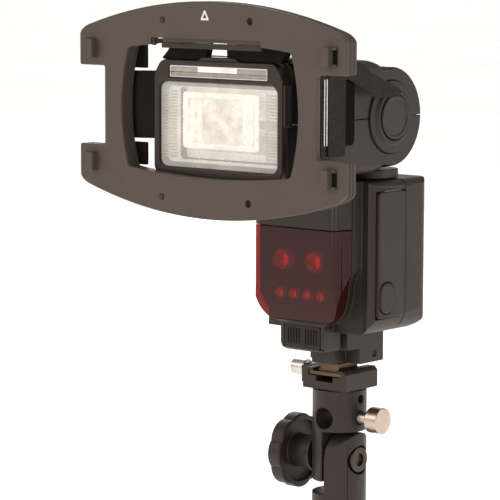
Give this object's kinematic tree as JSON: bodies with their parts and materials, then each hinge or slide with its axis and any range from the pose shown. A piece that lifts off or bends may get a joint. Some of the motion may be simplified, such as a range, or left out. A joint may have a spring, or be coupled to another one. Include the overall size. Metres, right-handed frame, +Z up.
{
  "type": "speedlight flash",
  "caption": "Speedlight flash with swivelling, tilting zoom head, in a tilting cold-shoe umbrella bracket, with a strap-on modifier mounting frame round the head.",
  "frame": {"origin": "centre of the stand socket's bottom face, on the bracket's upright axis", "axes": "+Z up along the bracket's upright, the flash head faces -Y, the battery door side is +X"},
  "size_m": [0.155, 0.1232, 0.2733],
  "materials": {
    "black_plastic": "fine moulded texture, satin",
    "frame_plastic": "fine moulded texture, satin",
    "gloss_black": "polished",
    "rubber": "matt",
    "bracket_metal": "dark powder coat, satin",
    "bright_metal": "nickel plate, champagne tint",
    "red_window": "deep red, glossy",
    "clear_window": "clear, fine prism pattern",
    "white_plastic": "matt white",
    "mirror_metal": "polished reflector",
    "strap_fabric": "hook-and-loop webbing",
    "circuit_board": "solder mask",
    "cell_jacket": "printed jacket without lettering",
    "lcd": "grey-green display"
  },
  "bodies": {
    "stand_socket": {"stand_socket_body": "bracket_metal", "tilt_bolt": "bright_metal", "tilt_washer": "black_plastic", "friction_disc": "rubber"},
    "stand_screw": {"stand_lock_screw": "bright_metal"},
    "knob": {"tilt_knob": "black_plastic"},
    "flash_base": {"tilt_upper_body": "bracket_metal", "shoe_block": "bracket_metal", "hotshoe_foot": "bright_metal", "foot_base": "black_plastic", "body_front_shell": "black_plastic", "body_rear_shell": "black_plastic", "af_window": "red_window", "front_panel": "gloss_black", "af_led_module": "white_plastic", "battery_1": "cell_jacket", "battery_2": "cell_jacket", "battery_3": "cell_jacket", "battery_4": "cell_jacket", "battery_contacts": "bright_metal", "main_capacitor": "gloss_black", "main_board": "circuit_board", "lcd_display": "lcd", "lcd_window": "clear_window"},
    "umbrella_thumbscrew": {"umbrella_screw": "bright_metal"},
    "clamp_jaw": {"shoe_clamp_jaw": "black_plastic"},
    "clamp_screw": {"shoe_clamp_screw": "bright_metal"},
    "lock_lever": {"foot_lock_lever": "black_plastic"},
    "lock_pin": {"foot_lock_pin": "bright_metal"},
    "socket_cover": {"terminal_cover": "rubber"},
    "door_leaf": {"battery_door": "black_plastic"},
    "door_release": {"battery_door_release": "black_plastic"},
    "dial": {"select_dial": "black_plastic"},
    "ok": {"ok_button": "black_plastic"},
    "switch": {"power_switch": "black_plastic"},
    "function_1": {"function_button_1": "black_plastic"},
    "function_2": {"function_button_2": "black_plastic"},
    "function_3": {"function_button_3": "black_plastic"},
    "test": {"test_button": "black_plastic"},
    "neck": {"neck_yoke": "black_plastic", "neck_retaining_ring": "bright_metal"},
    "head": {"head_upper_shell": "black_plastic", "head_lower_shell": "black_plastic", "head_pivot_shaft": "bright_metal", "front_bezel": "black_plastic", "fresnel_panel": "clear_window", "zoom_motor": "bright_metal", "pivot_cap": "black_plastic", "mount_frame": "frame_plastic", "frame_leg_left": "black_plastic", "frame_leg_right": "black_plastic", "strap": "strap_fabric", "strap_tail": "strap_fabric", "strap_ring": "bright_metal"},
    "zoom_carriage": {"reflector_carriage": "mirror_metal", "xenon_tube": "clear_window"},
    "lead_screw": {"zoom_lead_screw": "bright_metal"},
    "diffuser": {"wide_panel": "clear_window"},
    "card": {"bounce_card": "white_plastic"},
    "release_button": {"lock_release_button": "black_plastic"}
  },
  "joints": [
    {"name": "stand_screw_turn", "type": "hinge", "parent": "stand_socket", "child": "stand_screw", "pos_m": [0, 0.018, 0.014], "axis": [0, 1, 0], "continuous": true},
    {"name": "knob_turn", "type": "hinge", "parent": "stand_socket", "child": "knob", "pos_m": [-0.025, 0, 0.0547], "axis": [1, 0, 0], "continuous": true},
    {"name": "bracket_tilt", "type": "hinge", "parent": "stand_socket", "child": "flash_base", "pos_m": [0, 0, 0.0547], "axis": [1, 0, 0], "range_deg": [-90, 90]},
    {"name": "umbrella_screw_turn", "type": "hinge", "parent": "flash_base", "child": "umbrella_thumbscrew", "pos_m": [0.022, 0, 0.075], "axis": [1, 0, 0], "continuous": true},
    {"name": "clamp_jaw_slide", "type": "slide", "parent": "flash_base", "child": "clamp_jaw", "axis": [-1, 0, 0], "range_m": [0, 0.00025]},
    {"name": "clamp_screw_turn", "type": "hinge", "parent": "flash_base", "child": "clamp_screw", "pos_m": [-0.021, -0.0025, 0.0963], "axis": [1, 0, 0], "continuous": true},
    {"name": "lock_lever_turn", "type": "hinge", "parent": "flash_base", "child": "lock_lever", "pos_m": [0, 0.0118, 0.108], "axis": [0, 0, 1], "range_deg": [0, 30]},
    {"name": "lock_pin_lift", "type": "slide", "parent": "flash_base", "child": "lock_pin", "axis": [0, 0, 1], "range_m": [0, 0.0014], "stiffness_N_per_m": 200},
    {"name": "socket_cover_swing", "type": "hinge", "parent": "flash_base", "child": "socket_cover", "pos_m": [0, -0.0292, 0.1107], "axis": [1, 0, 0], "range_deg": [0, 100]},
    {"name": "door_swing", "type": "hinge", "parent": "flash_base", "child": "door_leaf", "pos_m": [0.0389, -0.0005, 0.156], "axis": [0, 0, 1], "range_deg": [0, 100]},
    {"name": "door_release_press", "type": "slide", "parent": "door_leaf", "child": "door_release", "axis": [-1, 0, 0], "range_m": [0, 0.0006], "stiffness_N_per_m": 200},
    {"name": "dial_turn", "type": "hinge", "parent": "flash_base", "child": "dial", "pos_m": [0.014, 0.02, 0.137], "axis": [0, 1, 0], "continuous": true},
    {"name": "ok_press", "type": "slide", "parent": "flash_base", "child": "ok", "axis": [0, -1, 0], "range_m": [0, 0.0008], "stiffness_N_per_m": 200},
    {"name": "power_switch_turn", "type": "hinge", "parent": "flash_base", "child": "switch", "pos_m": [-0.014, 0.02, 0.129], "axis": [0, 1, 0], "range_deg": [-30, 30]},
    {"name": "function_1_press", "type": "slide", "parent": "flash_base", "child": "function_1", "axis": [0, -1, 0], "range_m": [0, 0.0008], "stiffness_N_per_m": 200},
    {"name": "function_2_press", "type": "slide", "parent": "flash_base", "child": "function_2", "axis": [0, -1, 0], "range_m": [0, 0.0008], "stiffness_N_per_m": 200},
    {"name": "function_3_press", "type": "slide", "parent": "flash_base", "child": "function_3", "axis": [0, -1, 0], "range_m": [0, 0.0008], "stiffness_N_per_m": 200},
    {"name": "test_press", "type": "slide", "parent": "flash_base", "child": "test", "axis": [0, -1, 0], "range_m": [0, 0.0008], "stiffness_N_per_m": 200},
    {"name": "head_swivel", "type": "hinge", "parent": "flash_base", "child": "neck", "pos_m": [0, -0.011, 0.192], "axis": [0, 0, 1], "range_deg": [-180, 180]},
    {"name": "head_tilt", "type": "hinge", "parent": "neck", "child": "head", "pos_m": [0, -0.011, 0.22], "axis": [-1, 0, 0], "range_deg": [-7, 90]},
    {"name": "lock_release_press", "type": "slide", "parent": "head", "child": "release_button", "axis": [-1, 0, 0], "range_m": [0, 0.0007], "stiffness_N_per_m": 300},
    {"name": "diffuser_pull", "type": "slide", "parent": "head", "child": "diffuser", "axis": [0, -1, 0], "range_m": [0, 0.038]},
    {"name": "card_pull", "type": "slide", "parent": "head", "child": "card", "axis": [0, -1, 0], "range_m": [0, 0.038]},
    {"name": "zoom_travel", "type": "slide", "parent": "head", "child": "zoom_carriage", "axis": [0, 1, 0], "range_m": [-0.008, 0.009]},
    {"name": "lead_screw_turn", "type": "hinge", "parent": "head", "child": "lead_screw", "pos_m": [0.0304, -0.06, 0.2046], "axis": [0, 1, 0], "range_deg": [-3000, 3000]}
  ],
  "couplings": [
    {"joint": "lead_screw_turn", "follows": "zoom_travel", "rad_per_m": 3141.6}
  ]
}
